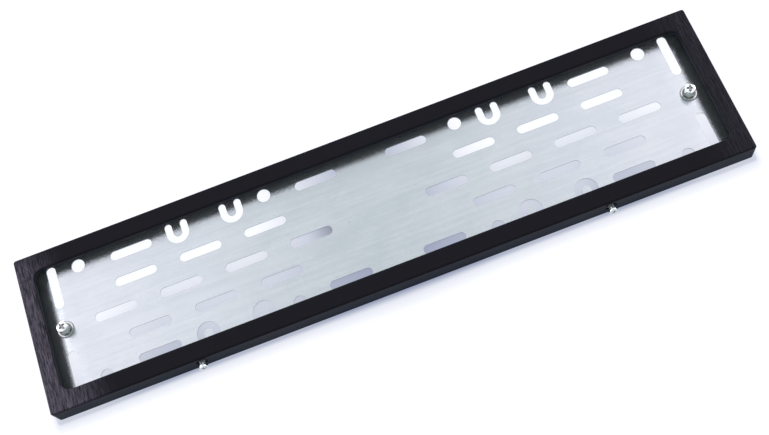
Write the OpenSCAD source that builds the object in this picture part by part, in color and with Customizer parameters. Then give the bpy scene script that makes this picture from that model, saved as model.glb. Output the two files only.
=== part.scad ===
// Number plate holder: a steel frame that hooks over a slotted backing plate and is held
// to it by two lock screws in its bottom wall. It lies on its back, with the face up.
// X runs along the holder, +Y is its top edge, and Z = 0 is the plane it is fixed against.
// The origin is the middle of the footprint.

/* [Frame] */
// Length of the frame over its end walls
frame_length = 525; // [510:1:600]
// Height of the frame over its top and bottom walls
frame_height = 121; // [118:1:150]
// Depth of the frame from its face to its rear rim
frame_depth = 17; // [15.5:0.5:22]
// Thickness of the frame's sheet
frame_sheet = 1; // [0.8:0.1:1.4]
// Width of the face along the top and the bottom
long_bar_w = 13.7; // [11:0.1:15]
// Width of the face at each end
end_bar_w = 11.7; // [9:0.1:14]
// Outer radius of the bends at both edges of the face
frame_bend_r = 1.6; // [1.5:0.1:2.4]
// Outer radius of the four upright corners
frame_corner_r = 2; // [1.8:0.1:5]
// Radius of the window's corners
window_corner_r = 7; // [3:0.5:12]
// How far the window's inner edge reaches down from the face
window_lip_depth = 4.5; // [3:0.1:5.5]

/* [Backing plate] */
// Depth of the plate's front below the face of the frame
plate_face_depth = 11; // [10:0.1:12]
// Thickness of the plate's sheet
plate_sheet = 1; // [0.8:0.1:1.2]
// Gap between the plate's edges and the frame's walls
plate_gap = 0.5; // [0.3:0.1:0.8]
// Outer radius of the plate's bends
plate_bend_r = 1.5; // [1.3:0.1:1.8]
// Gap beside each bent part, which keeps the sheet from tearing
bend_relief_w = 2; // [1:0.5:3]
// How far the bent edges stop short of each corner
corner_relief = 4; // [3:0.5:8]

/* [Rows of slots] */
// Sheet between neighbouring slots of a row
slot_bridge = 18; // [14:0.5:22]
// Width of a slot
slot_w = 7; // [5:0.1:8]
// Distance from the middle to the first slot of the middle row
middle_row_first_x = 52.1; // [46:0.1:56]
// Distance from an end of the plate to the last slot of the middle row
middle_row_inset = 58.9; // [54:0.1:64]
// How much further out each slot of the next row lies
next_row_offset = 29.2; // [24:0.1:32]
// Distance from the middle to the inner slots of the edge rows
edge_row_inner_x = 35.4; // [30:0.1:38]
// Distance from an end of the plate to the outer slots of the edge rows
edge_row_end_inset = 81.5; // [78:0.1:84]
// Distance from a long edge of the plate to its edge row
edge_row_inset = 18; // [15:0.1:19]
// Distance from an end of the plate to its upright slots
end_slot_inset = 20.7; // [15:0.1:24]
// Distance from the middle to where the upright slots start
end_slot_start_y = 17; // [12:0.1:20]
// Distance from the upright slots to the plate's long edges
end_slot_edge = 8.7; // [6:0.1:12]

/* [Round holes] */
// Diameter of the round holes
round_hole_d = 10; // [6:0.5:11]
// Distance from a long edge of the plate to its round holes
round_hole_inset = 15.1; // [12:0.1:18]
// Distance from the middle to the inner round holes
inner_hole_x = 75; // [72:0.5:77]
// Distance from an end of the plate to the outer round holes
outer_hole_inset = 41; // [36:0.5:44]

/* [U-shaped slots] */
// Distance from an end of the plate to the outer U-shaped slots
u_end_inset = 117.9; // [115:0.1:121]
// Distance from an outer U-shaped slot to the inner one
u_pitch = 42.1; // [38:0.1:43]
// Distance from a long edge of the plate to the ends of the U-shaped slots
u_edge_inset = 9.7; // [8:0.1:11]
// Width of the tongue that a U-shaped slot leaves
u_tongue_w = 6.4; // [5:0.1:8]
// Width of the slot round the tongue
u_slot_w = 5.4; // [4:0.1:6]
// Length of the slot's straight legs between their round ends and the bend
u_leg_length = 5.6; // [4:0.1:7]

/* [Hooks and ears] */
// Distance from the middle to each hook on the plate's top edge
hook_x = 150; // [100:1:200]
// Width of a hook
hook_w = 14; // [8:0.5:24]
// Clearance round a hook in the frame's slot
hook_gap = 0.3; // [0.2:0.1:0.6]
// Distance from the middle to each lock screw
lock_x = 153.1; // [120:0.1:200]
// Height of the lock screws above the plate's front
lock_rise = 3.5; // [3.4:0.1:4.5]
// Diameter of the frame's hole round a lock screw
lock_hole_d = 8.6; // [7.6:0.1:9]
// Width of the ear that a lock screw turns in
ear_w = 11; // [9:0.5:20]
// Distance from the lock screw to the top of its ear
ear_top = 4.6; // [4:0.1:5]

/* [Lock screws] */
// Diameter of a lock screw's shank
lock_shank_d = 4; // [3:0.5:4]
// Length of a lock screw's shank
lock_shank_length = 6; // [5.5:0.5:6.5]
// Diameter of a lock screw's head
lock_head_d = 7; // [6:0.1:7.4]
// Height of a lock screw's head
lock_head_h = 2.6; // [2.2:0.1:3]
// Gap between a lock screw's head and the frame
lock_head_gap = 2.8; // [1.5:0.1:3]

/* [Plate screws] */
// Diameter of a plate screw's shank
plate_shank_d = 5; // [4:0.5:5]
// Diameter of a plate screw's head
plate_head_d = 8.2; // [7:0.1:10]
// Height of a plate screw's head
plate_head_h = 3.2; // [2.4:0.1:3.6]
// How far a plate screw reaches past the tapped collar
plate_screw_past = 0.8; // [0:0.1:1]
// Width across the flats of a spacer nut
nut_flats = 8; // [7.5:0.5:10]
// Height of a spacer nut
nut_h = 5.2; // [4:0.1:5.4]
// Outer diameter of a washer
washer_d = 11.6; // [10.5:0.1:14]
// Thickness of a washer
washer_t = 1; // [0.8:0.1:1.2]

/* [Hidden] */
$fn = 64;
// Overrun of every cut past the face that it leaves
cut_past = 1;
quarter = 90;
half_turn = 180;

// Frame
window_length = frame_length - 2 * end_bar_w;
window_height = frame_height - 2 * long_bar_w;
wall_top = frame_depth - frame_bend_r;

// Backing plate
plate_z = frame_depth - plate_face_depth;
plate_length = frame_length - 2 * (frame_sheet + plate_gap);
plate_height = frame_height - 2 * (frame_sheet + plate_gap);
half_length = plate_length / 2;
half_height = plate_height / 2;
panel_x = half_length - plate_bend_r;
panel_y = half_height - plate_bend_r;

// Openings of the plate
next_slot_count = 3;
middle_slot_count = 4;
slot_pitch = (half_length - middle_row_inset - middle_row_first_x) / (middle_slot_count - 1);
slot_length = slot_pitch - slot_bridge;
next_row_first_x = middle_row_first_x + next_row_offset;
edge_row_outer_x = half_length - edge_row_end_inset;
edge_row_y = half_height - edge_row_inset;
end_slot_x = half_length - end_slot_inset;
end_slot_length = half_height - end_slot_edge - end_slot_start_y;
end_slot_y = end_slot_start_y + end_slot_length / 2;
outer_hole_x = half_length - outer_hole_inset;
round_hole_y = half_height - round_hole_inset;
u_outer_x = half_length - u_end_inset;
u_inner_x = u_outer_x - u_pitch;
u_bend_y = half_height - u_edge_inset - u_slot_w / 2 - u_leg_length;

// Hooks and ears
hook_tip_y = frame_height / 2 - hook_gap;
hook_corner_r = 2;
lock_z = plate_z + lock_rise;
ear_corner_r = 3;
// Wall of a pulled collar round its thread
collar_wall = 0.9;
// Length of the collar pulled through an ear
ear_collar_length = 1.2;
// Length of the collar pulled through the plate
plate_collar_length = 1.5;
// Clearance between a screw and what it turns in
thread_gap = 0.02;

// Screws: the cross recess and the chamfers, as shares of the head or the shank
recess_depth_share = 0.62;
recess_reach_share = 0.56;
recess_root_share = 0.2;
recess_arm_share = 0.25;
head_edge_share = 0.42;
tip_chamfer_share = 0.2;
nut_chamfer_share = 0.12;
// How far each cross recess is turned
plate_recess_left = 35;
plate_recess_right = 68;
lock_recess_left = 20;
lock_recess_right = -15;

plate_stack = washer_t + nut_h;
plate_shank_length = plate_stack + plate_sheet + plate_collar_length + plate_screw_past;
// The lock screws stand out on one side only, so the frame is moved by half of that
lock_out = lock_head_gap + lock_head_h;
footprint_shift = lock_out / 2;

// The colours of the finishes
black_paint = [0.09, 0.09, 0.1];
zinc_sheet = [0.78, 0.8, 0.82];
bright_zinc = [0.88, 0.89, 0.9];

// Moves a piece from the middle of the frame to the middle of the footprint
module placed() translate([0, footprint_shift, 0]) children();

// One copy on each side of the middle
module both_sides() {
    children();
    mirror([1, 0, 0]) children();
}

// A copy in each of the four quarters of the plate
module four_ways() {
    both_sides() {
        children();
        mirror([0, 1, 0]) children();
    }
}

// A rectangle with round corners, about its middle
module rounded_rect(length, height, corner_r) {
    square([length - 2 * corner_r, height], center = true);
    square([length, height - 2 * corner_r], center = true);
    for (x = [-1, 1], y = [-1, 1])
        translate([x * (length / 2 - corner_r), y * (height / 2 - corner_r)]) circle(r = corner_r);
}

// The section of a bend of a quarter turn, in the corner towards +x and +y
module bend_section(outer_r, sheet) {
    intersection() {
        difference() {
            circle(r = outer_r);
            circle(r = outer_r - sheet);
        }
        square(outer_r);
    }
}

// A section run along Y at a distance from the middle. Its x points outwards, its y up.
module section_run(distance, from, to) {
    translate([distance, to, 0])
        rotate([quarter, 0, 0]) linear_extrude(height = to - from) children();
}

// One side and the corner after it, of a section swept round a rectangle
module swept_side(distance, half_run) {
    section_run(distance, -half_run, half_run) children();
    translate([distance, half_run, 0]) rotate_extrude(angle = quarter) children();
}

// A section swept round a rectangle with round corners. Its x runs outwards from the
// centres of the corners, and its y is the height.
module swept_round(length, height, corner_r) {
    run_x = length / 2 - corner_r;
    run_y = height / 2 - corner_r;
    for (turn = [0, half_turn])
        rotate([0, 0, turn]) {
            swept_side(run_x, run_y) children();
            rotate([0, 0, quarter]) swept_side(run_y, run_x) children();
        }
}

// The frame's wall with the bend at its top
module frame_wall_section() {
    translate([frame_corner_r - frame_sheet, 0]) square([frame_sheet, wall_top]);
    translate([frame_corner_r - frame_bend_r, wall_top]) bend_section(frame_bend_r, frame_sheet);
}

// The bend at the window and the edge that it turns down
module window_lip_section() {
    translate([window_corner_r, frame_depth - window_lip_depth])
        square([frame_sheet, window_lip_depth - frame_bend_r]);
    translate([window_corner_r + frame_bend_r, wall_top])
        mirror([1, 0]) bend_section(frame_bend_r, frame_sheet);
}

// The flat face between its two bends
module frame_face() {
    translate([0, 0, frame_depth - frame_sheet])
        linear_extrude(height = frame_sheet) difference() {
            rounded_rect(frame_length - 2 * frame_bend_r, frame_height - 2 * frame_bend_r,
                         frame_corner_r - frame_bend_r);
            rounded_rect(window_length + 2 * frame_bend_r, window_height + 2 * frame_bend_r,
                         window_corner_r + frame_bend_r);
        }
}

// The slots that the hooks go through, in the top wall
module hook_slots() {
    slot_h = plate_sheet + 2 * hook_gap;
    both_sides()
        translate([hook_x - hook_w / 2 - hook_gap, frame_height / 2 - frame_sheet - cut_past,
                   plate_z - plate_sheet - hook_gap])
            cube([hook_w + 2 * hook_gap, frame_sheet + 2 * cut_past, slot_h]);
}

// The holes that the lock screws stand in, in the bottom wall
module lock_holes() {
    both_sides()
        translate([lock_x, frame_sheet + cut_past - frame_height / 2, lock_z])
            rotate([quarter, 0, 0])
                cylinder(d = lock_hole_d, h = frame_sheet + 2 * cut_past);
}

module front_frame() {
    color(black_paint) placed() difference() {
        union() {
            swept_round(frame_length, frame_height, frame_corner_r) frame_wall_section();
            frame_face();
            swept_round(window_length, window_height, window_corner_r) window_lip_section();
        }
        hook_slots();
        lock_holes();
    }
}

// The outline of a slot along X
module slot_outline(length) {
    half_run = (length - slot_w) / 2;
    square([2 * half_run, slot_w], center = true);
    for (side = [-1, 1]) translate([side * half_run, 0]) circle(d = slot_w);
}

// The outline of a U-shaped slot that opens towards +Y
module u_slot_outline() {
    inner_r = u_tongue_w / 2;
    leg_x = inner_r + u_slot_w / 2;
    difference() {
        circle(r = inner_r + u_slot_w);
        circle(r = inner_r);
        translate([-inner_r - u_slot_w, 0]) square(2 * (inner_r + u_slot_w));
    }
    for (side = [-1, 1])
        translate([side * leg_x, 0]) {
            translate([-u_slot_w / 2, 0]) square([u_slot_w, u_leg_length]);
            translate([0, u_leg_length]) circle(d = u_slot_w);
        }
}

// Every slot and hole in the flat of the plate
module plate_openings() {
    both_sides() for (i = [0 : middle_slot_count - 1])
        translate([middle_row_first_x + i * slot_pitch, 0]) slot_outline(slot_length);
    four_ways() {
        for (i = [0 : next_slot_count - 1])
            translate([next_row_first_x + i * slot_pitch, edge_row_y / 2])
                slot_outline(slot_length);
        for (x = [edge_row_inner_x, edge_row_outer_x])
            translate([x, edge_row_y]) slot_outline(slot_length);
        for (x = [inner_hole_x, outer_hole_x])
            translate([x, round_hole_y]) circle(d = round_hole_d);
        for (x = [u_inner_x, u_outer_x])
            translate([x, u_bend_y]) u_slot_outline();
        translate([end_slot_x, end_slot_y]) rotate(quarter) slot_outline(end_slot_length);
    }
}

// The edge bent down round the plate, with x from the bend's start
module down_edge_section() {
    translate([0, plate_z - plate_bend_r]) bend_section(plate_bend_r, plate_sheet);
    translate([plate_bend_r - plate_sheet, 0]) square([plate_sheet, plate_z - plate_bend_r]);
}

// Bent edges along a long side, which leave room for a pair of bent parts
module long_edges(gap_x, gap_w) {
    gap_half = gap_w / 2 + bend_relief_w;
    end_x = half_length - corner_relief;
    section_run(panel_y, -gap_x + gap_half, gap_x - gap_half) down_edge_section();
    for (turn = [0, 1])
        mirror([0, turn, 0])
            section_run(panel_y, gap_x + gap_half, end_x) down_edge_section();
}

// A tongue that goes through the frame's top wall
module hook() {
    length = hook_tip_y - panel_y;
    translate([hook_x, panel_y, plate_z - plate_sheet])
        linear_extrude(height = plate_sheet) {
            translate([-hook_w / 2, 0]) square([hook_w, length - hook_corner_r]);
            translate([hook_corner_r - hook_w / 2, 0])
                square([hook_w - 2 * hook_corner_r, length]);
            for (side = [-1, 1])
                translate([side * (hook_w / 2 - hook_corner_r), length - hook_corner_r])
                    circle(r = hook_corner_r);
        }
}

// The outline of an ear above its bend, seen from the front
module ear_outline() {
    base_z = plate_z - plate_sheet + plate_bend_r;
    top_z = lock_z + ear_top;
    translate([-ear_w / 2, base_z]) square([ear_w, top_z - ear_corner_r - base_z]);
    translate([ear_corner_r - ear_w / 2, base_z])
        square([ear_w - 2 * ear_corner_r, top_z - base_z]);
    for (side = [-1, 1])
        translate([side * (ear_w / 2 - ear_corner_r), top_z - ear_corner_r])
            circle(r = ear_corner_r);
}

// An ear bent up from the lower edge, with the collar that a lock screw turns in
module ear() {
    thread_r = lock_shank_d / 2 + thread_gap;
    ear_back_y = plate_sheet - half_height;
    difference() {
        union() {
            rotate([0, 0, -quarter])
                section_run(panel_y, lock_x - ear_w / 2, lock_x + ear_w / 2)
                    translate([0, plate_z - plate_sheet + plate_bend_r])
                        mirror([0, 1]) bend_section(plate_bend_r, plate_sheet);
            translate([lock_x, ear_back_y, 0]) rotate([quarter, 0, 0])
                linear_extrude(height = plate_sheet) ear_outline();
            translate([lock_x, ear_back_y + ear_collar_length, lock_z]) rotate([quarter, 0, 0])
                cylinder(r = thread_r + collar_wall, h = ear_collar_length + plate_sheet / 2);
        }
        translate([lock_x, ear_back_y + ear_collar_length + cut_past, lock_z])
            rotate([quarter, 0, 0])
                cylinder(r = thread_r, h = ear_collar_length + plate_sheet + 2 * cut_past);
    }
}

module backing_plate() {
    thread_r = plate_shank_d / 2 + thread_gap;
    collar_z = plate_z - plate_sheet - plate_collar_length;
    color(zinc_sheet) placed() {
        difference() {
            union() {
                translate([0, 0, plate_z - plate_sheet])
                    linear_extrude(height = plate_sheet) difference() {
                        square([2 * panel_x, 2 * panel_y], center = true);
                        plate_openings();
                    }
                both_sides() translate([end_slot_x, 0, collar_z])
                    cylinder(r = thread_r + collar_wall, h = plate_collar_length);
            }
            both_sides() translate([end_slot_x, 0, collar_z - cut_past])
                cylinder(r = thread_r, h = plate_collar_length + plate_sheet + 2 * cut_past);
        }
        both_sides() {
            section_run(panel_x, corner_relief - half_height, half_height - corner_relief)
                down_edge_section();
            hook();
            ear();
        }
        rotate([0, 0, quarter]) long_edges(hook_x, hook_w);
        rotate([0, 0, -quarter]) long_edges(lock_x, ear_w);
    }
}

// The cross recess of a screw, cut down from Z = 0
module cross_recess(head_d, head_h, turn) {
    reach = head_d / 2 * recess_reach_share;
    depth = head_h * recess_depth_share;
    arm_w = reach * 2 * recess_arm_share;
    slope = (1 - recess_root_share) * reach / depth;
    rotate([0, 0, turn]) intersection() {
        translate([0, 0, -depth])
            cylinder(h = depth + cut_past, r1 = reach * recess_root_share,
                     r2 = reach + slope * cut_past);
        for (side = [0, quarter])
            rotate([0, 0, side])
                translate([-head_d / 2, -arm_w / 2, -depth])
                    cube([head_d, arm_w, depth + cut_past]);
    }
}

// A cross-recess screw with a domed pan head. Its head stands on Z = 0, its shank hangs down.
module pan_screw(shank_d, shank_length, head_d, head_h, turn) {
    edge_h = head_h * head_edge_share;
    dome_h = head_h - edge_h;
    dome_r = (head_d * head_d / 4 + dome_h * dome_h) / (2 * dome_h);
    chamfer = shank_d * tip_chamfer_share;
    difference() {
        intersection() {
            cylinder(d = head_d, h = head_h);
            translate([0, 0, head_h - dome_r]) sphere(r = dome_r);
        }
        translate([0, 0, head_h]) cross_recess(head_d, head_h, turn);
    }
    translate([0, 0, chamfer - shank_length])
        cylinder(d = shank_d, h = shank_length - chamfer);
    translate([0, 0, -shank_length])
        cylinder(d1 = shank_d - 2 * chamfer, d2 = shank_d, h = chamfer);
}

// A plate screw, side -1 for the left and 1 for the right
module plate_screw(side, turn) {
    color(bright_zinc) placed() translate([side * end_slot_x, 0, plate_z + plate_stack])
        pan_screw(plate_shank_d, plate_shank_length, plate_head_d, plate_head_h, turn);
}

// The nut that holds the plate screw's head off the washer
module spacer_nut(side) {
    corner_r = nut_flats / 2 / cos(quarter / 3);
    chamfer = nut_flats * nut_chamfer_share;
    mid_h = nut_h / 2;
    color(bright_zinc) placed() translate([side * end_slot_x, 0, plate_z + washer_t])
        difference() {
            intersection() {
                cylinder(r = corner_r, h = nut_h, $fn = 6);
                union() {
                    cylinder(r1 = nut_flats / 2, r2 = nut_flats / 2 + mid_h / tan(quarter / 3),
                             h = mid_h);
                    translate([0, 0, mid_h])
                        cylinder(r1 = nut_flats / 2 + mid_h / tan(quarter / 3),
                                 r2 = nut_flats / 2, h = mid_h);
                }
            }
            translate([0, 0, -cut_past])
                cylinder(d = plate_shank_d + 2 * thread_gap, h = nut_h + 2 * cut_past);
        }
}

module plate_washer(side) {
    color(bright_zinc) placed() translate([side * end_slot_x, 0, plate_z])
        difference() {
            cylinder(d = washer_d, h = washer_t);
            translate([0, 0, -cut_past])
                cylinder(d = plate_shank_d + 2 * thread_gap, h = washer_t + 2 * cut_past);
        }
}

// A lock screw, with its head towards the bottom edge
module lock_screw(side, turn) {
    color(bright_zinc) placed()
        translate([side * lock_x, -frame_height / 2 - lock_head_gap, lock_z])
            rotate([quarter, 0, 0])
                pan_screw(lock_shank_d, lock_shank_length, lock_head_d, lock_head_h, turn);
}

front_frame();
backing_plate();
plate_screw(-1, plate_recess_left);  // plate_screw_left
plate_screw(1, plate_recess_right);  // plate_screw_right
spacer_nut(-1);  // spacer_nut_left
spacer_nut(1);  // spacer_nut_right
plate_washer(-1);  // plate_washer_left
plate_washer(1);  // plate_washer_right
lock_screw(-1, lock_recess_left);  // lock_screw_left
lock_screw(1, lock_recess_right);  // lock_screw_right
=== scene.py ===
"""Looks of a number plate holder: black wrinkled paint, zinc-coated sheet, threaded screws
and a studio."""

import math

import bpy
from bpy.props import FloatProperty, FloatVectorProperty, IntProperty, PointerProperty
from mathutils import Euler, Matrix, Vector


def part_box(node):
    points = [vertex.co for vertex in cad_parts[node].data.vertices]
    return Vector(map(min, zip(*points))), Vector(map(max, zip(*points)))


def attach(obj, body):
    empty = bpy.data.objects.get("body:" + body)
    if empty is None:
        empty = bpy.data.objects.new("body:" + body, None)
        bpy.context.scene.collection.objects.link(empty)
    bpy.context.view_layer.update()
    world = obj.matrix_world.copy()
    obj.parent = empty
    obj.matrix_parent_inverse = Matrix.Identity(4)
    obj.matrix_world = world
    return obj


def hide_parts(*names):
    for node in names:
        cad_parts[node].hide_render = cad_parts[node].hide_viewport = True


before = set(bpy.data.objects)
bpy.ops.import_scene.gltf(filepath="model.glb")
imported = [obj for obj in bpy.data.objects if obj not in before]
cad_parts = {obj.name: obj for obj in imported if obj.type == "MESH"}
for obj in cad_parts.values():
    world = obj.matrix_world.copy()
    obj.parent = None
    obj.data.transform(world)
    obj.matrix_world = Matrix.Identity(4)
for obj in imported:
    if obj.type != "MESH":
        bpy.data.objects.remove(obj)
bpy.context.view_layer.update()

bl_info = {
    "name": "Number plate holder",
    "version": (1, 0, 0),
    "blender": (4, 5, 0),
    "location": "3D View > Sidebar > Plate Holder",
    "description": "Finishes, screws and studio for a number plate holder of pressed sheet",
    "category": "Object",
}

MM = 0.001
TURN = 2 * math.pi
SIDES = ("left", "right")
BLACK = (0, 0, 0)
WHITE = (1, 1, 1)


class Shade:
    """A socket of a material, which Python expressions can use as a number."""

    def __init__(self, graph, socket):
        self.graph = graph
        self.socket = socket

    def maths(self, operation, *values):
        return self.graph.node("ShaderNodeMath", {"operation": operation}, dict(enumerate(values)))

    def __add__(self, other):
        return self.maths("ADD", self, other)

    def __sub__(self, other):
        return self.maths("SUBTRACT", self, other)

    def __rsub__(self, other):
        return self.maths("SUBTRACT", other, self)

    def __mul__(self, other):
        return self.maths("MULTIPLY", self, other)

    def __pow__(self, other):
        return self.maths("POWER", self, other)

    def __rpow__(self, other):
        return self.maths("POWER", other, self)

    def __abs__(self):
        return self.maths("ABSOLUTE", self)

    __radd__ = __add__
    __rmul__ = __mul__

    def least(self, other):
        return self.maths("MINIMUM", self, other)

    def most(self, other):
        return self.maths("MAXIMUM", self, other)

    def between(self, low, high, course="SMOOTHSTEP"):
        """0 up to low, 1 from high on, and a smooth or linear course between them."""
        return self.graph.node(
            "ShaderNodeMapRange",
            {"interpolation_type": course},
            {"Value": self, "From Min": low, "From Max": high},
        )


class Graph:
    """The nodes of one material or world."""

    def __init__(self, tree):
        self.tree = tree
        tree.nodes.clear()

    def node(self, kind, settings=None, values=None, output=0):
        """Adds a node. Its settings are set first, then the values or links of its sockets."""
        made = self.tree.nodes.new(kind)
        for name, value in (settings or {}).items():
            setattr(made, name, value)
        for name, value in (values or {}).items():
            if isinstance(value, Shade):
                self.tree.links.new(value.socket, made.inputs[name])
            else:
                made.inputs[name].default_value = value
        return Shade(self, made.outputs[output]) if made.outputs else None

    def place(self):
        return self.node("ShaderNodeTexCoord", output="Object")

    def stretched(self, place, scale):
        return self.node("ShaderNodeVectorMath", {"operation": "MULTIPLY"}, {0: place, 1: scale})

    def noise(self, place, scale, detail=2.0, roughness=0.5, warp=0.0):
        """A noise round 0.5, whose place is first stretched by a scale along each axis."""
        return self.node(
            "ShaderNodeTexNoise",
            {},
            {
                "Vector": self.stretched(place, scale),
                "Scale": 1.0,
                "Detail": detail,
                "Roughness": roughness,
                "Distortion": warp,
            },
        )

    def distance(self, place, point, stretch=(1, 1, 1)):
        """Distance from a point, with each axis first stretched."""
        away = self.node("ShaderNodeVectorMath", {"operation": "SUBTRACT"}, {0: place, 1: point})
        away = self.stretched(away, stretch)
        return self.node("ShaderNodeVectorMath", {"operation": "LENGTH"}, {0: away}, "Value")

    def axis(self, place, name):
        return self.node("ShaderNodeSeparateXYZ", {}, {0: place}, name)

    def colour_mix(self, share, first, second):
        """Colours are RGBA tuples or sockets."""
        return self.node("ShaderNodeMix", {"data_type": "RGBA"}, {0: share, 6: first, 7: second}, 2)

    def bump(self, height, distance, strength=1.0):
        return self.node(
            "ShaderNodeBump", {}, {"Height": height, "Distance": distance, "Strength": strength}
        )

    def surface(self, values):
        shader = self.node("ShaderNodeBsdfPrincipled", {}, values)
        self.node("ShaderNodeOutputMaterial", {}, {"Surface": shader})


def new_material(name):
    """A material with empty nodes, and the graph that fills them."""
    material = bpy.data.materials.new(name)
    material.use_nodes = True
    return material, Graph(material.node_tree)


def rgba(colour):
    return (*colour, 1.0)


def shaded(colour, share):
    return rgba([part * share for part in colour])


def finer(stretch, rate):
    """A stretch for each axis, times a rate for all of them."""
    return tuple(part * rate for part in stretch)


def put_on(node, material):
    """Gives a CAD node this material in each of its slots."""
    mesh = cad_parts[node].data
    if not mesh.materials:
        mesh.materials.append(material)
    for i in range(len(mesh.materials)):
        mesh.materials[i] = material


class PaintLook(bpy.types.PropertyGroup):
    colour: FloatVectorProperty(
        name="Paint", description="Colour of the frame's black paint",
        subtype="COLOR", default=(0.0128, 0.0129, 0.0175)
    )
    crest_colour: FloatVectorProperty(
        name="Crest", description="Colour on the crests of the grain",
        subtype="COLOR", default=(0.016, 0.0156, 0.021)
    )
    # The walls' colour is the black paint with a painted reflection: bluer and lighter than the
    # face, for the pale floor and bright sheet that the walls and the window's edge mirror
    wall_paint_and_reflection: FloatVectorProperty(
        name="Walls", description="Colour of the paint on the bent-down walls and the window's edge",
        subtype="COLOR", default=(0.013, 0.0185, 0.03)
    )
    # Painted sheen: a light colour on the grain's crests at the ends, standing in for lamp light
    # that they catch
    painted_sheen_colour: FloatVectorProperty(
        name="Bloom",
        description="Colour of the crests at the left end, where the grain stands out most",
        subtype="COLOR", default=(0.16, 0.145, 0.195)
    )
    grain_width: FloatProperty(
        name="Grain width", description="Distance between two ridges of the paint's grain",
        subtype="DISTANCE", unit="LENGTH", default=1.05 * MM
    )
    grain_depth: FloatProperty(
        name="Grain depth", description="Depth of the paint's grain",
        subtype="DISTANCE", unit="LENGTH", default=0.5 * MM
    )
    roughness: FloatProperty(
        name="Roughness", description="Roughness of the paint",
        subtype="FACTOR", default=0.4, min=0, max=1
    )


class ZincLook(bpy.types.PropertyGroup):
    colour: FloatVectorProperty(
        name="Zinc", description="Colour of the zinc-coated sheet",
        subtype="COLOR", default=(0.464, 0.537, 0.576)
    )
    pale_colour: FloatVectorProperty(
        name="Pale zinc", description="Colour of the paler streaks",
        subtype="COLOR", default=(0.502, 0.574, 0.612)
    )
    streak_width: FloatProperty(
        name="Streak width", description="Distance between two rolling streaks of the sheet",
        subtype="DISTANCE", unit="LENGTH", default=2.4 * MM
    )
    roughness: FloatProperty(
        name="Roughness", description="Roughness of the sheet",
        subtype="FACTOR", default=0.17, min=0, max=1
    )
    line_depth: FloatProperty(
        name="Line depth", description="Depth in millimetres of the fine lines from rolling",
        default=0.05, min=0
    )
    end_roll: FloatProperty(
        name="End roll", description="How much the sheet curves down towards its bent ends",
        default=0.0055, min=0
    )


class ScrewSizes(bpy.types.PropertyGroup):
    plate_head_height: FloatProperty(
        name="Plate screw head", description="Height of a plate screw's head",
        subtype="DISTANCE", unit="LENGTH", default=3.2 * MM
    )
    plate_shank: FloatProperty(
        name="Plate screw shank", description="Diameter of a plate screw's thread",
        subtype="DISTANCE", unit="LENGTH", default=5 * MM
    )
    plate_pitch: FloatProperty(
        name="Plate screw pitch", description="Pitch of a plate screw's thread",
        subtype="DISTANCE", unit="LENGTH", default=0.8 * MM
    )
    lock_head_height: FloatProperty(
        name="Lock screw head", description="Height of a lock screw's head",
        subtype="DISTANCE", unit="LENGTH", default=2.6 * MM
    )
    lock_shank: FloatProperty(
        name="Lock screw shank", description="Diameter of a lock screw's thread",
        subtype="DISTANCE", unit="LENGTH", default=4 * MM
    )
    lock_pitch: FloatProperty(
        name="Lock screw pitch", description="Pitch of a lock screw's thread",
        subtype="DISTANCE", unit="LENGTH", default=0.7 * MM
    )
    segments: IntProperty(
        name="Segments", description="Segments round each screw", default=72, min=24, max=144
    )


class StudioLook(bpy.types.PropertyGroup):
    floor_colour: FloatVectorProperty(
        name="Floor", description="Colour of the floor in the light",
        subtype="COLOR", default=(0.165, 0.197, 0.26)
    )
    floor_glow: FloatVectorProperty(
        name="Floor glow", description="Light that keeps the seen floor white",
        subtype="COLOR", default=(0.93, 0.93, 0.95)
    )
    floor_shade: FloatVectorProperty(
        name="Floor shade", description="Glow of the floor where the holder shades it most",
        subtype="COLOR", default=(0.26, 0.288, 0.4)
    )
    air: FloatProperty(
        name="Surround", description="Strength of the even light from all round",
        default=0.62, min=0
    )
    horizon: FloatProperty(
        name="Horizon", description="Strength of the surround that metal mirrors near the horizon",
        default=0.1, min=0
    )
    sides: FloatProperty(
        name="Sides", description="Extra light that metal mirrors towards both ends",
        default=0.42, min=0
    )
    key_power: FloatProperty(
        name="Key light", description="Power of the broad lamp behind the top edge",
        unit="POWER", default=15
    )
    left_power: FloatProperty(
        name="Left light", description="Power of the low lamp beyond the left end",
        unit="POWER", default=14
    )
    right_power: FloatProperty(
        name="Right light", description="Power of the low lamp beyond the right end",
        unit="POWER", default=7
    )


# Stretch along X, Y and Z of the paint's ridges and of the finer grain between them
RIDGE_STRETCH = (1.0, 0.065, 0.3)
GRAIN_STRETCH = (2.2, 0.25, 0.9)
# Soft patches of the paint, in patches a metre along X, Y and Z
PAINT_PATCHES = (28, 19, 40)
# Depths below the face at which the sheen painted on its grain has faded out and begins to fade
FACE_FADE = (1.1 * MM, 0.1 * MM)
# Depths below the face between which the paint turns to the walls' colour, a painted reflection
WALL_START = (3 * MM, 1 * MM)
# Where the sheen painted on the grain's crests fades out along the left end, and sets in along
# the right one, how much its edge leans at the left, and its strength at the right
LEFT_SHEEN = (-258 * MM, -218 * MM)
RIGHT_SHEEN = (225 * MM, 262 * MM)
SHEEN_LEAN = 0.12
RIGHT_SHARE = 0.2
# Where the left end's painted sheen gets weaker, towards the top corner, and by how much
TOP_CORNER = (50 * MM, 64 * MM)
TOP_CORNER_FADE = 0.5
# Heights of the noise between which crests and the painted sheen set in
CREST_RANGE = (0.5, 0.78)
SHEEN_RANGE = (0.34, 0.7)
# Height of the grain away from the left end, as a share of its height there
PLAIN_GRAIN = 0.2
# Reflection of the paint straight on, and its cool tint
PAINT_SPECULAR = 0.03
PAINT_TINT = (0.78, 0.86, 1.0, 1.0)


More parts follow.
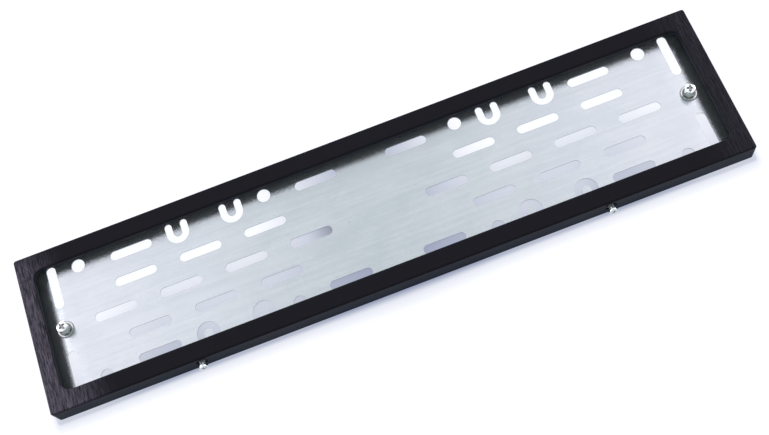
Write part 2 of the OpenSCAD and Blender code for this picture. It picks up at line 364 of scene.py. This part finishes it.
def wrinkled_paint(look):
    """Semi-gloss black paint whose grain runs across the bars in fine, broken ridges."""
    material, graph = new_material("wrinkled_black_paint")
    place = graph.place()
    rate = 1 / look.grain_width
    ridges = graph.noise(place, finer(RIDGE_STRETCH, rate), detail=3, roughness=0.62, warp=0.5)
    fine = graph.noise(place, finer(GRAIN_STRETCH, rate), detail=2, roughness=0.5)
    patches = graph.noise(place, PAINT_PATCHES, detail=2)
    # On the face at the left end the grain is deeper and a painted sheen lies on its crests;
    # a little of that painted sheen lies at the right end too
    face_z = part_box("front_frame")[1].z
    along, up, height = (graph.axis(place, name) for name in "XYZ")
    on_face = height.between(face_z - FACE_FADE[0], face_z - FACE_FADE[1])
    walls = 1 - height.between(face_z - WALL_START[0], face_z - WALL_START[1])
    left_end = (1 - (along + up * SHEEN_LEAN).between(*LEFT_SHEEN)) * on_face
    left_end = left_end * (1 - up.between(*TOP_CORNER) * TOP_CORNER_FADE)
    right_end = along.between(*RIGHT_SHEEN) * on_face
    crests = ridges.between(*CREST_RANGE) * patches
    plain = graph.colour_mix(crests, rgba(look.colour), rgba(look.crest_colour))
    # Painted reflection: the walls and the window's edge take a bluer, lighter colour than the face
    plain = graph.colour_mix(walls, plain, rgba(look.wall_paint_and_reflection))
    # Painted sheen: the crests at the ends take a light colour in place of the light they catch
    painted_sheen = (ridges * 0.55 + fine * 0.45).between(*SHEEN_RANGE)
    painted_sheen = painted_sheen * (left_end + right_end * RIGHT_SHARE)
    grain = (ridges + fine * 0.35) * (PLAIN_GRAIN + left_end * (1 - PLAIN_GRAIN))
    graph.surface(
        {
            "Base Color": graph.colour_mix(painted_sheen, plain, rgba(look.painted_sheen_colour)),
            "Roughness": look.roughness + (patches - 0.5) * 0.16 + (fine - 0.5) * 0.12,
            "Specular IOR Level": PAINT_SPECULAR,
            "Specular Tint": PAINT_TINT,
            "Normal": graph.bump(grain, look.grain_depth, 0.8),
        }
    )
    return material


# Marks on the plate in millimetres: x from its middle, y from the part's middle, length, width
PLATE_SPECKS = (
    (-23.0, 3.0, 1.4, 0.9),
    (-44.0, -33.0, 1.2, 0.8),
    (170.5, 21.0, 1.5, 0.8),
    (31.0, 12.0, 5.0, 0.4),
)
# From where to where a mark fades, as shares of its half size, its strength and its darkness
SPECK_FADE = (0.6, 1.1)
SPECK_STRENGTH = 0.45
SPECK_DARKNESS = 0.4
# Stretch along X, Y and Z of the rolling streaks and of the fine lines in them
STREAK_STRETCH = (0.035, 1.0, 1.0)
LINE_STRETCH = (1.0, 10.0, 10.0)
# Soft blotches and fine grains of the zinc, in a metre along X, Y and Z, and the part of the
# noise over which the pale streaks set in
ZINC_BLOTCHES = (34, 58, 58)
ZINC_GRAINS = (900, 900, 900)
PALE_RANGE = (0.36, 0.66)
# How metallic the coat is, how much less so along the top edge and where that sets in, and the
# reflection of what isn't metallic
ZINC_METALLIC = 0.87
DULLER_TOP = 0.09
DULLER_TOP_START = (38 * MM, 47 * MM)
ZINC_SPECULAR = 0.2
# Painted shade round a washer, for its contact shadow and the reflection of its dark rim: gap
# from its edge to the line's middle, half widths between which the line fades, its strength and
# its darkness
WASHER_SHADE_GAP = 0.35 * MM
WASHER_SHADE_FADE = (0.1 * MM, 0.6 * MM)
WASHER_SHADE_STRENGTH = 0.75
WASHER_SHADE_DARKNESS = 0.25
# Steepness of the painted shade's fade below the sheet's front, which keeps it off the back
WASHER_SHADE_DEPTH_RATE = 20
# Width of the painted shade along the plate's bent long edges and ears, how softly it ends and
# its darkness
BENT_EDGE = 1 * MM
BENT_EDGE_FADE = (-0.2 * MM, 0.8 * MM)
BENT_EDGE_SHADE = 0.3
# Distance from the middle at which the flat begins to roll off towards its ends
ROLL_START = 230 * MM


def rolled_zinc(look):
    """Zinc-coated sheet with rolling streaks along it, soft blotches and a few specks."""
    material, graph = new_material("rolled_zinc_sheet")
    place = graph.place()
    rate = 1 / look.streak_width
    streaks = graph.noise(place, finer(STREAK_STRETCH, rate), detail=3, roughness=0.6)
    fine = graph.noise(place, finer(LINE_STRETCH, rate), detail=1, roughness=0.5)
    blotches = graph.noise(place, ZINC_BLOTCHES, detail=3, roughness=0.55, warp=0.4)
    grains = graph.noise(place, ZINC_GRAINS, detail=1)
    tone = (streaks * 0.5 + blotches * 0.5).between(*PALE_RANGE)
    colour = graph.colour_mix(tone, rgba(look.colour), rgba(look.pale_colour))
    lo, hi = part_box("backing_plate")
    middle = (lo + hi) / 2
    for x, y, length, width in PLATE_SPECKS:
        spot = (middle.x + x * MM, y * MM, hi.z)
        stretch = (2 / (length * MM), 2 / (width * MM), 1)
        mark = 1 - graph.distance(place, spot, stretch).between(*SPECK_FADE)
        dark = shaded(look.colour, SPECK_DARKNESS)
        colour = graph.colour_mix(mark * SPECK_STRENGTH, colour, dark)
    # A dark line of painted shade lies round each washer, for its contact shadow and its rim's
    # reflection
    for side in SIDES:
        low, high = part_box("plate_washer_" + side)
        centre = (low + high) / 2
        from_centre = graph.distance(place, (centre.x, centre.y, low.z), (1, 1, WASHER_SHADE_DEPTH_RATE))
        line = 1 - abs(from_centre - (high.x - low.x) / 2 - WASHER_SHADE_GAP).between(*WASHER_SHADE_FADE)
        dark = shaded(look.colour, WASHER_SHADE_DARKNESS)
        colour = graph.colour_mix(line * WASHER_SHADE_STRENGTH, colour, dark)
    # The bent edges and the ears are darkened as painted shade, for the little light that reaches
    # them
    up = graph.axis(place, "Y")
    from_edge = (hi.y - lo.y) / 2 - BENT_EDGE - abs(up - middle.y)
    painted_shade = shaded(look.colour, BENT_EDGE_SHADE)
    colour = graph.colour_mix(from_edge.between(*BENT_EDGE_FADE), painted_shade, colour)
    # The flat rolls off towards its bent ends. All heights here are in millimetres.
    past_flat = (abs(graph.axis(place, "X")) - ROLL_START).most(0.0) * (1 / MM)
    roll_off = past_flat * past_flat * look.end_roll
    graph.surface(
        {
            "Base Color": colour,
            "Metallic": ZINC_METALLIC - up.between(*DULLER_TOP_START) * DULLER_TOP,
            "Specular IOR Level": ZINC_SPECULAR,
            "Roughness": look.roughness + (streaks - 0.5) * 0.06 + (blotches - 0.5) * 0.06,
            "Normal": graph.bump(fine * look.line_depth + grains * 0.001 - roll_off, 1 * MM),
        }
    )
    return material


# Colour of each kind of plating, and how much darker its mottles are; the nuts', the threads'
# and the recesses' colours are darkened as painted shade
PLATINGS = {
    "bright": ((0.7, 0.8, 0.82), 0.38),
    "painted_shade": ((0.31, 0.37, 0.36), 0.2),
    "washer": ((0.55, 0.6, 0.61), 0.3),
    "thread": ((0.22, 0.24, 0.25), 0.3),
    "recess": ((0.32, 0.34, 0.35), 0.3),
}
# Mottles and fine grains of the plating, in a metre along X, Y and Z, the part of the noise
# over which mottles set in, and the depth of the whole
PLATING_MOTTLES = (620, 620, 620)
PLATING_GRAINS = (3200, 3200, 3200)
MOTTLE_RANGE = (0.38, 0.66)
PLATING_DEPTH = 0.02 * MM
# Distances from a washer's middle between which the painted shadow under its nut fades, and its
# darkness
NUT_SHADOW = (4.5 * MM, 5 * MM)
NUT_SHADOW_DARKNESS = 0.2


def zinc_plating(name, colour, mottling, centre=None):
    """Zinc plating of the small hardware, with mottles darker than its colour by a share, and
    with a painted shadow of a nut round the centre where one is given."""
    material, graph = new_material(name)
    place = graph.place()
    mottle = graph.noise(place, PLATING_MOTTLES, detail=3, roughness=0.6)
    fine = graph.noise(place, PLATING_GRAINS, detail=2)
    mottled = mottle.between(*MOTTLE_RANGE)
    tone = graph.colour_mix(mottled, shaded(colour, 1 - mottling), rgba(colour))
    if centre is not None:
        # Painted shadow: the washer darkens close to its nut
        unshadowed = graph.distance(place, centre, (1, 1, 0)).between(*NUT_SHADOW)
        tone = graph.colour_mix(unshadowed, shaded(colour, NUT_SHADOW_DARKNESS), tone)
    graph.surface(
        {
            "Base Color": tone,
            "Metallic": 1.0,
            "Roughness": 0.1 + mottle * 0.16 + fine * 0.05,
            "Normal": graph.bump(mottle * 0.6 + fine * 0.4, PLATING_DEPTH, 0.6),
        }
    )
    return material


def plating(kind):
    """A plating material, made when a piece first asks for it."""
    name = kind + "_zinc_plating"
    return bpy.data.materials.get(name) or zinc_plating(name, *PLATINGS[kind])


def ring_mesh(name, rings):
    """A mesh of rings of equal length, joined one to the next and closed by a fan at each end."""
    verts = [v for ring in rings for v in ring]
    count = len(rings[0])
    faces = []
    for i in range(len(rings) - 1):
        for j in range(count):
            k = (j + 1) % count
            faces.append((i * count + j, i * count + k, (i + 1) * count + k, (i + 1) * count + j))
    first = len(verts)
    base = first - count
    verts += [sum((Vector(v) for v in ring), Vector()) / count for ring in (rings[0], rings[-1])]
    faces += [(first, (j + 1) % count, j) for j in range(count)]
    faces += [(first + 1, base + j, base + (j + 1) % count) for j in range(count)]
    mesh = bpy.data.meshes.new(name)
    mesh.from_pydata([tuple(v) for v in verts], [], faces)
    mesh.validate()
    mesh.update()
    return mesh


# Reach and depth of a cross recess, as shares of the head's radius and height
RECESS_REACH = 0.66
RECESS_DEPTH = 0.62
# Half width of its arms, the softness of their walls and the length of their slopes, as shares
# of its reach, and how full the slopes are
RECESS_ARM = 0.28
RECESS_SOFTNESS = 0.09
RECESS_SLOPE = 0.62
RECESS_FULLNESS = 0.8
# Share of its depth from which the recess has a darker colour, as painted shade
RECESS_SHADE = 0.3
# Height of a head's edge, radius of its rounding and chamfer below it, as shares of its height
HEAD_EDGE = 0.42
HEAD_ROUNDING = 0.26
HEAD_CHAMFER = 0.06
# Radius of the neck under a head, as a share of the shank's
NECK_RADIUS = 1.08
# Rings across the top of a head and round its edge
HEAD_RINGS = 34
EDGE_RINGS = 6
# Depth of a thread, its steepness and the width of its crests, for a pitch of 1
THREAD_DEPTH = 0.58
THREAD_STEEPNESS = 2.3
THREAD_CREST = 0.12
# Where the thread starts below the head, in pitches, and its rings a pitch
NECK_RUN = 0.8
NECK_START = 0.2
RINGS_A_PITCH = 12
# Chamfer of a screw's tip, as a share of its shank's radius
TIP_CHAMFER = 0.4
# Length of thread next to the head that keeps the head's colour; below it the thread is darkened as
# painted shade
BRIGHT_NECK = 1.7 * MM
# Plating of a screw's head, of its recess and of its thread, in the order of its mesh's slots; the
# recess and the thread are darkened as painted shade
SCREW_PLATINGS = ("bright", "recess", "thread")
# Turn of each recess in degrees, left and right
PLATE_SCREW_TURNS = (35, 68)
LOCK_SCREW_TURNS = (20, -15)


def cross_depth(x, y, reach, depth):
    """Depth of the cross recess at a point of the head, with arms that slope up to their ends."""
    found = 0.0
    for along, across in ((abs(x), abs(y)), (abs(y), abs(x))):
        wall = min(1.0, max(0.0, (reach * RECESS_ARM - across) / (reach * RECESS_SOFTNESS) + 0.5))
        slope = min(1.0, max(0.0, (reach - along) / (reach * RECESS_SLOPE)))
        found = max(found, depth * wall * slope ** RECESS_FULLNESS)
    return found


def pan_head_rings(head_r, head_h, shank_r, turn, segments):
    """Rings of a pan head on Z = 0, from the middle of its top out and down to the shank."""
    edge_h = head_h * HEAD_EDGE
    round_r = head_h * HEAD_ROUNDING
    reach, depth = head_r * RECESS_REACH, head_h * RECESS_DEPTH
    angles = [TURN * j / segments for j in range(segments)]
    rings = []
    for i in range(1, HEAD_RINGS + 1):
        r = (head_r - round_r) * (i / HEAD_RINGS)
        top = edge_h + round_r + (head_h - edge_h - round_r) * (1 - (r / head_r) ** 2)
        ring = []
        for a in angles:
            hollow = cross_depth(r * math.cos(a - turn), r * math.sin(a - turn), reach, depth)
            ring.append((r * math.cos(a), r * math.sin(a), top - hollow))
        rings.append(ring)
    shoulder = rings[-1][0][2] - round_r
    profile = []
    for step in range(1, EDGE_RINGS + 1):
        q = TURN / 4 * step / EDGE_RINGS
        profile.append((head_r - round_r + round_r * math.sin(q), shoulder + round_r * math.cos(q)))
    under = head_h * HEAD_CHAMFER
    profile += [(head_r, under), (head_r - under * 0.3, under * 0.3), (head_r - under, 0)]
    profile += [(shank_r * NECK_RADIUS, 0)]
    rings += [[(r * math.cos(a), r * math.sin(a), z) for a in angles] for r, z in profile]
    return rings


def thread_rings(shank_r, length, pitch, segments):
    """Rings of a thread that hangs from Z = 0, with a plain neck and a chamfered tip."""
    steps = max(RINGS_A_PITCH, round(length / pitch * RINGS_A_PITCH))
    chamfer = shank_r * TIP_CHAMFER
    rings = []
    for i in range(steps + 1):
        z = -length * i / steps
        neck = min(1.0, max(0.0, -z / (pitch * NECK_RUN) - NECK_START))
        ring = []
        for j in range(segments):
            phase = (z / pitch + j / segments) % 1
            valley = min(1.0, max(0.0, abs(phase - 0.5) * THREAD_STEEPNESS - THREAD_CREST))
            r = shank_r - pitch * THREAD_DEPTH * valley * neck
            r = min(r, shank_r - chamfer + (length + z))
            a = TURN * j / segments
            ring.append((r * math.cos(a), r * math.sin(a), z))
        rings.append(ring)
    return rings


def build_screw(node, axis, head_h, shank_d, pitch, turn):
    """A threaded screw in the place of a CAD node, whose head points along the axis."""
    sizes = bpy.context.scene.holder_screws
    lo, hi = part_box(node)
    length = max(hi.z - lo.z, hi.y - lo.y) if axis.y else hi.z - lo.z
    head_r, shank_r = (hi.x - lo.x) / 2, shank_d / 2
    rings = pan_head_rings(head_r, head_h, shank_r, turn, sizes.segments)
    rings += thread_rings(shank_r, length - head_h, pitch, sizes.segments)
    head_base = (lo + hi) / 2 + axis * (length / 2 - head_h)
    turned = Vector((0, 0, 1)).rotation_difference(axis).to_matrix().to_4x4()
    mesh = ring_mesh(node + "_threaded", rings)
    for kind in SCREW_PLATINGS:
        mesh.materials.append(plating(kind))
    for face in mesh.polygons:
        x, y, z = Matrix.Rotation(-turn, 3, "Z") @ face.center
        if z < -BRIGHT_NECK:
            face.material_index = SCREW_PLATINGS.index("thread")
        elif cross_depth(x, y, head_r * RECESS_REACH, 1.0) > RECESS_SHADE:
            face.material_index = SCREW_PLATINGS.index("recess")
    mesh.transform(Matrix.Translation(head_base) @ turned)
    mesh.polygons.foreach_set("use_smooth", [True] * len(mesh.polygons))
    screw = bpy.data.objects.new(node + "_threaded", mesh)
    bpy.context.scene.collection.objects.link(screw)
    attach(screw, "root")
    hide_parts(node)


class HOLDER_OT_paint_frame(bpy.types.Operator):
    """Paint the front frame with wrinkled black paint"""

    bl_idname = "holder.paint_frame"
    bl_label = "Paint the frame"

    def execute(self, context):
        put_on("front_frame", wrinkled_paint(context.scene.holder_paint))
        return {"FINISHED"}


class HOLDER_OT_coat_plate(bpy.types.Operator):
    """Give the backing plate its zinc coat"""

    bl_idname = "holder.coat_plate"
    bl_label = "Coat the backing plate"

    def execute(self, context):
        put_on("backing_plate", rolled_zinc(context.scene.holder_zinc))
        return {"FINISHED"}


class HOLDER_OT_plate_nuts(bpy.types.Operator):
    """Plate the spacer nuts and the washers"""

    bl_idname = "holder.plate_nuts"
    bl_label = "Plate nuts and washers"

    def execute(self, context):
        for side in SIDES:
            # The nuts' plating is darkened as painted shade
            put_on("spacer_nut_" + side, plating("painted_shade"))
            washer = "plate_washer_" + side
            low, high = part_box(washer)
            centre = (low + high) / 2
            coat = zinc_plating("washer_zinc_" + side, *PLATINGS["washer"], centre)
            put_on(washer, coat)
        return {"FINISHED"}


class HOLDER_OT_plate_screws(bpy.types.Operator):
    """Build the two plate screws with their threads and cross recesses"""

    bl_idname = "holder.plate_screws"
    bl_label = "Build the plate screws"

    def execute(self, context):
        sizes = context.scene.holder_screws
        for side, turn in zip(SIDES, PLATE_SCREW_TURNS):
            build_screw(
                "plate_screw_" + side, Vector((0, 0, 1)), sizes.plate_head_height,
                sizes.plate_shank, sizes.plate_pitch, math.radians(turn)
            )
        return {"FINISHED"}


class HOLDER_OT_lock_screws(bpy.types.Operator):
    """Build the two lock screws that stand out of the bottom wall"""

    bl_idname = "holder.lock_screws"
    bl_label = "Build the lock screws"

    def execute(self, context):
        sizes = context.scene.holder_screws
        for side, turn in zip(SIDES, LOCK_SCREW_TURNS):
            build_screw(
                "lock_screw_" + side, Vector((0, -1, 0)), sizes.lock_head_height,
                sizes.lock_shank, sizes.lock_pitch, math.radians(turn)
            )
        return {"FINISHED"}


def add_lamp(name, power, place, aim, width, height, colour, only_mirrored=False):
    """A rectangular lamp. One that is only mirrored adds highlights and no other light."""
    light = bpy.data.lights.new(name, "AREA")
    light.shape = "RECTANGLE"
    light.size, light.size_y = width, height
    light.energy = power
    light.color = colour
    lamp = bpy.data.objects.new(name, light)
    lamp.location = place
    lamp.rotation_euler = (Vector(aim) - Vector(place)).to_track_quat("-Z", "Y").to_euler()
    lamp.visible_diffuse = not only_mirrored
    bpy.context.scene.collection.objects.link(lamp)


def light_rays(graph):
    """Sockets that are 1 for the camera's rays, for mirrored rays, and for rays through glass."""
    names = ("Is Camera Ray", "Is Glossy Ray", "Is Transmission Ray")
    return [graph.node("ShaderNodeLightPath", output=name) for name in names]


def seen_light(graph):
    """1 for rays that reach the camera directly, or by way of a mirror or glass."""
    camera_ray, glossy_ray, clear_ray = light_rays(graph)
    return camera_ray.most(glossy_ray).most(clear_ray)


# Speckles of the floor, in a metre along X, Y and Z
FLOOR_SPECKLES = (90, 90, 90)
# Under the holder, from dark to light: distances from the middle towards both ends, and
# places from the bottom edge towards the top edge
SHADE_ENDWARDS = (0.0, 105 * MM)
SHADE_UPWARDS = (-72 * MM, 40 * MM)
SHADE_STEP = (2 * MM, 24 * MM)
LIGHT_ENDS = (170 * MM, 245 * MM)
# Share of the light that stays in the middle, what the step adds, and what the ends add
MIDDLE_LIGHT = 0.2
STEP_LIGHT = 0.14
END_LIGHT = 0.3
# A lighter strip near the bottom edge: where it sets in and fades along and up the holder, and
# how much lighter it is
STRIP_START = (50 * MM, 80 * MM)
STRIP_END = (132 * MM, 165 * MM)
STRIP_TOP = (-32 * MM, -22 * MM)
STRIP_LIGHT = 0.11
# A patch of painted shade near the middle, darker than the rest: place, half sizes, edge and
# darkness
DUSK_PLACE = (-29 * MM, 6 * MM, 0)
DUSK_SIZE = (28 * MM, 20 * MM)
DUSK_FADE = (0.1, 1.0)
DUSK_DARKNESS = 0.5
# Widths of the wide and the narrow shadow on the floor beside the holder, the share of the wide
# one, and how much slower they end beside the holder's middle than beside its ends
WIDE_SHADOW = 12 * MM
NARROW_SHADOW = 5 * MM
WIDE_SHARE = 0.45
END_STEEPNESS = 0.3
# Painted shade behind the foot of the bottom wall, which the lock screws' holes show: where it sets
# in and fades from the wall inwards, how far it stops short of the ends, and its darkness
NOOK_START = (-0.3 * MM, 0.3 * MM)
NOOK_END = (4 * MM, 15 * MM)
NOOK_INSET = (3 * MM, 1 * MM)
NOOK_DARKNESS = 0.94


def floor_light(graph, place):
    """How light the floor is at a place: 0 in the holder's darkest shade, 1 in the open."""
    lo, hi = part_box("front_frame")
    along, up = abs(graph.axis(place, "X")), graph.axis(place, "Y")
    endwards = MIDDLE_LIGHT + along.between(*SHADE_ENDWARDS) * (1 - MIDDLE_LIGHT)
    light = up.between(*SHADE_UPWARDS, "LINEAR") + up.between(*SHADE_STEP) * STEP_LIGHT
    light = light * endwards + along.between(*LIGHT_ENDS) * END_LIGHT
    strip = along.between(*STRIP_START) * (1 - along.between(*STRIP_END))
    strip = strip * (1 - up.between(*STRIP_TOP))
    past_end = (along - hi.x).most(0.0) * 2
    past_side = (lo.y - up).most((up - hi.y) * 2).most(0.0)
    beyond = (past_end * past_end + past_side * past_side) ** 0.5
    beyond = beyond * (1 - END_STEEPNESS + endwards * END_STEEPNESS)
    open_floor = beyond.between(0.0, WIDE_SHADOW, "LINEAR") * WIDE_SHARE
    open_floor = open_floor + beyond.between(0.0, NARROW_SHADOW) * (1 - WIDE_SHARE)
    return (light + strip * STRIP_LIGHT).most(open_floor).least(1.0)


def kept_glow(graph, place):
    """Share of the floor's glow that stays: less where painted shade lies, near the middle and
    behind the bottom wall.
    """
    lo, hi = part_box("front_frame")
    stretch = (1 / DUSK_SIZE[0], 1 / DUSK_SIZE[1], 1)
    dusk = 1 - graph.distance(place, DUSK_PLACE, stretch).between(*DUSK_FADE)
    from_wall, along = graph.axis(place, "Y") - lo.y, abs(graph.axis(place, "X"))
    nook = from_wall.between(*NOOK_START) * (1 - from_wall.between(*NOOK_END))
    nook = nook * (1 - along.between(hi.x - NOOK_INSET[0], hi.x - NOOK_INSET[1]))
    return (1 - dusk * DUSK_DARKNESS) * (1 - nook * NOOK_DARKNESS)


def floor_material(look):
    """Pale matt floor that is white where it is lit and keeps the shadow of the holder."""
    material, graph = new_material("pale_floor")
    place = graph.place()
    speckle = graph.noise(place, FLOOR_SPECKLES, detail=2)
    light = floor_light(graph, place)
    glow = graph.colour_mix(light, rgba(look.floor_shade), rgba(look.floor_glow))
    graph.surface(
        {
            "Base Color": rgba(look.floor_colour),
            "Roughness": 0.75 + speckle * 0.1,
            "Specular IOR Level": 0.0,
            "Emission Color": graph.colour_mix(
                seen_light(graph) * kept_glow(graph, place), rgba(BLACK), glow
            ),
            "Emission Strength": 1.0,
        }
    )
    return material


# Half length of the floor's sides, in metres
FLOOR_HALF = 6.0
# What metal mirrors in the surround, by the direction's share along X or Z: where the glow to
# the left and to the right sets in and is full, its strengths and its tint, and the same two
# places for the light above
LEFT_GLOW = (0.0, 0.24)
RIGHT_GLOW = (0.0, 0.32)
LEFT_GLOW_STRENGTH = 1.35
RIGHT_GLOW_STRENGTH = 1.4
GLOW_TINT = (1.12, 1.0, 1.04)
UPPER_LIGHT = (0.25, 0.88)
# Place of each lamp, the point that it aims at, its width and height in metres, and its colour
KEY_LAMP = ((-0.05, 1.5, 0.95), (0, 0, 0), 1.6, 0.6, (1, 0.985, 0.965))
LEFT_LAMP = ((-1.15, 0.2, 0.6), (-0.15, 0, 0), 0.7, 0.7, (0.96, 0.93, 1))
RIGHT_LAMP = ((1.2, 0.3, 0.55), (0.15, 0, 0), 0.7, 0.7, (0.96, 0.97, 1))
# Camera of the photograph: sensor's width and lens in millimetres, place and turn in degrees
SENSOR_WIDTH = 36
LENS = 54.54
CAMERA_PLACE = Vector((-13.57, -316.45, 783.59)) * MM
CAMERA_TURN = (20.949, 6.6815, -19.7523)
# Nearest and farthest distance that the camera sees, in metres
CAMERA_CLIP = (0.02, 30)


class HOLDER_OT_studio(bpy.types.Operator):
    """Set up the floor, the light and the camera"""

    bl_idname = "holder.studio"
    bl_label = "Set up the studio"

    def execute(self, context):
        look = context.scene.holder_studio
        half = FLOOR_HALF
        corners = [(-half, -half, 0), (half, -half, 0), (half, half, 0), (-half, half, 0)]
        mesh = bpy.data.meshes.new("pale_floor")
        mesh.from_pydata(corners, [], [(0, 1, 2, 3)])
        mesh.materials.append(floor_material(look))
        floor = bpy.data.objects.new("pale_floor", mesh)
        context.scene.collection.objects.link(floor)

        world = bpy.data.worlds.new("studio_air")
        world.use_nodes = True
        graph = Graph(world.node_tree)
        way = graph.node("ShaderNodeTexCoord", output="Generated")
        across = graph.axis(way, "X")
        side_light = (0 - across).between(*LEFT_GLOW) * LEFT_GLOW_STRENGTH
        side_light = side_light + across.between(*RIGHT_GLOW) * RIGHT_GLOW_STRENGTH
        upper_light = graph.axis(way, "Z").between(*UPPER_LIGHT)
        mirrored = look.horizon + upper_light * (1 - look.horizon) + side_light * look.sides
        camera_ray, glossy_ray, clear_ray = light_rays(graph)
        seen = camera_ray.most(clear_ray)
        strength = seen + (1 - seen) * (look.air + glossy_ray * (mirrored - look.air))
        tint = graph.colour_mix(glossy_ray * side_light, rgba(WHITE), rgba(GLOW_TINT))
        air = graph.node("ShaderNodeBackground", {}, {"Color": tint, "Strength": strength})
        graph.node("ShaderNodeOutputWorld", {}, {"Surface": air})
        context.scene.world = world

        add_lamp("key_lamp", look.key_power, *KEY_LAMP)
        add_lamp("left_lamp", look.left_power, *LEFT_LAMP, only_mirrored=True)
        add_lamp("right_lamp", look.right_power, *RIGHT_LAMP, only_mirrored=True)
        self.add_camera(context)
        context.scene.view_settings.view_transform = "Standard"
        return {"FINISHED"}

    @staticmethod
    def add_camera(context):
        """The camera stands where the photograph was taken from, above the bottom edge."""
        camera = bpy.data.cameras.new("photo_camera")
        camera.sensor_fit = "HORIZONTAL"
        camera.sensor_width = SENSOR_WIDTH
        camera.lens = LENS
        camera.clip_start, camera.clip_end = CAMERA_CLIP
        eye = bpy.data.objects.new("photo_camera", camera)
        eye.location = CAMERA_PLACE
        eye.rotation_euler = Euler([math.radians(a) for a in CAMERA_TURN], "XYZ")
        context.scene.collection.objects.link(eye)
        context.scene.camera = eye


class HOLDER_PT_sidebar(bpy.types.Panel):
    """Lists the steps that finish the holder"""

    bl_idname = "HOLDER_PT_sidebar"
    bl_label = "Number plate holder"
    bl_space_type = "VIEW_3D"
    bl_region_type = "UI"
    bl_category = "Plate Holder"

    def draw(self, context):
        scene = context.scene
        hardware = ("holder.plate_nuts", "holder.plate_screws", "holder.lock_screws")
        for look, steps in (
            (scene.holder_paint, ("holder.paint_frame",)),
            (scene.holder_zinc, ("holder.coat_plate",)),
            (scene.holder_screws, hardware),
            (scene.holder_studio, ("holder.studio",)),
        ):
            box = self.layout.box()
            for name in look.bl_rna.properties.keys():
                if name not in ("rna_type", "name"):
                    box.prop(look, name)
            for step in steps:
                box.operator(step)


LOOKS = (
    ("holder_paint", PaintLook),
    ("holder_zinc", ZincLook),
    ("holder_screws", ScrewSizes),
    ("holder_studio", StudioLook),
)
CLASSES = tuple(look for _, look in LOOKS) + (
    HOLDER_OT_paint_frame,
    HOLDER_OT_coat_plate,
    HOLDER_OT_plate_nuts,
    HOLDER_OT_plate_screws,
    HOLDER_OT_lock_screws,
    HOLDER_OT_studio,
    HOLDER_PT_sidebar,
)


def register():
    for cls in CLASSES:
        bpy.utils.register_class(cls)
    for name, look in LOOKS:
        setattr(bpy.types.Scene, name, PointerProperty(type=look))


def unregister():
    for name, _ in LOOKS:
        delattr(bpy.types.Scene, name)
    for cls in reversed(CLASSES):
        bpy.utils.unregister_class(cls)


def main():
    register()
    bpy.ops.holder.paint_frame()
    bpy.ops.holder.coat_plate()
    bpy.ops.holder.plate_nuts()
    bpy.ops.holder.plate_screws()
    bpy.ops.holder.lock_screws()
    bpy.ops.holder.studio()


if __name__ == "__main__":
    main()
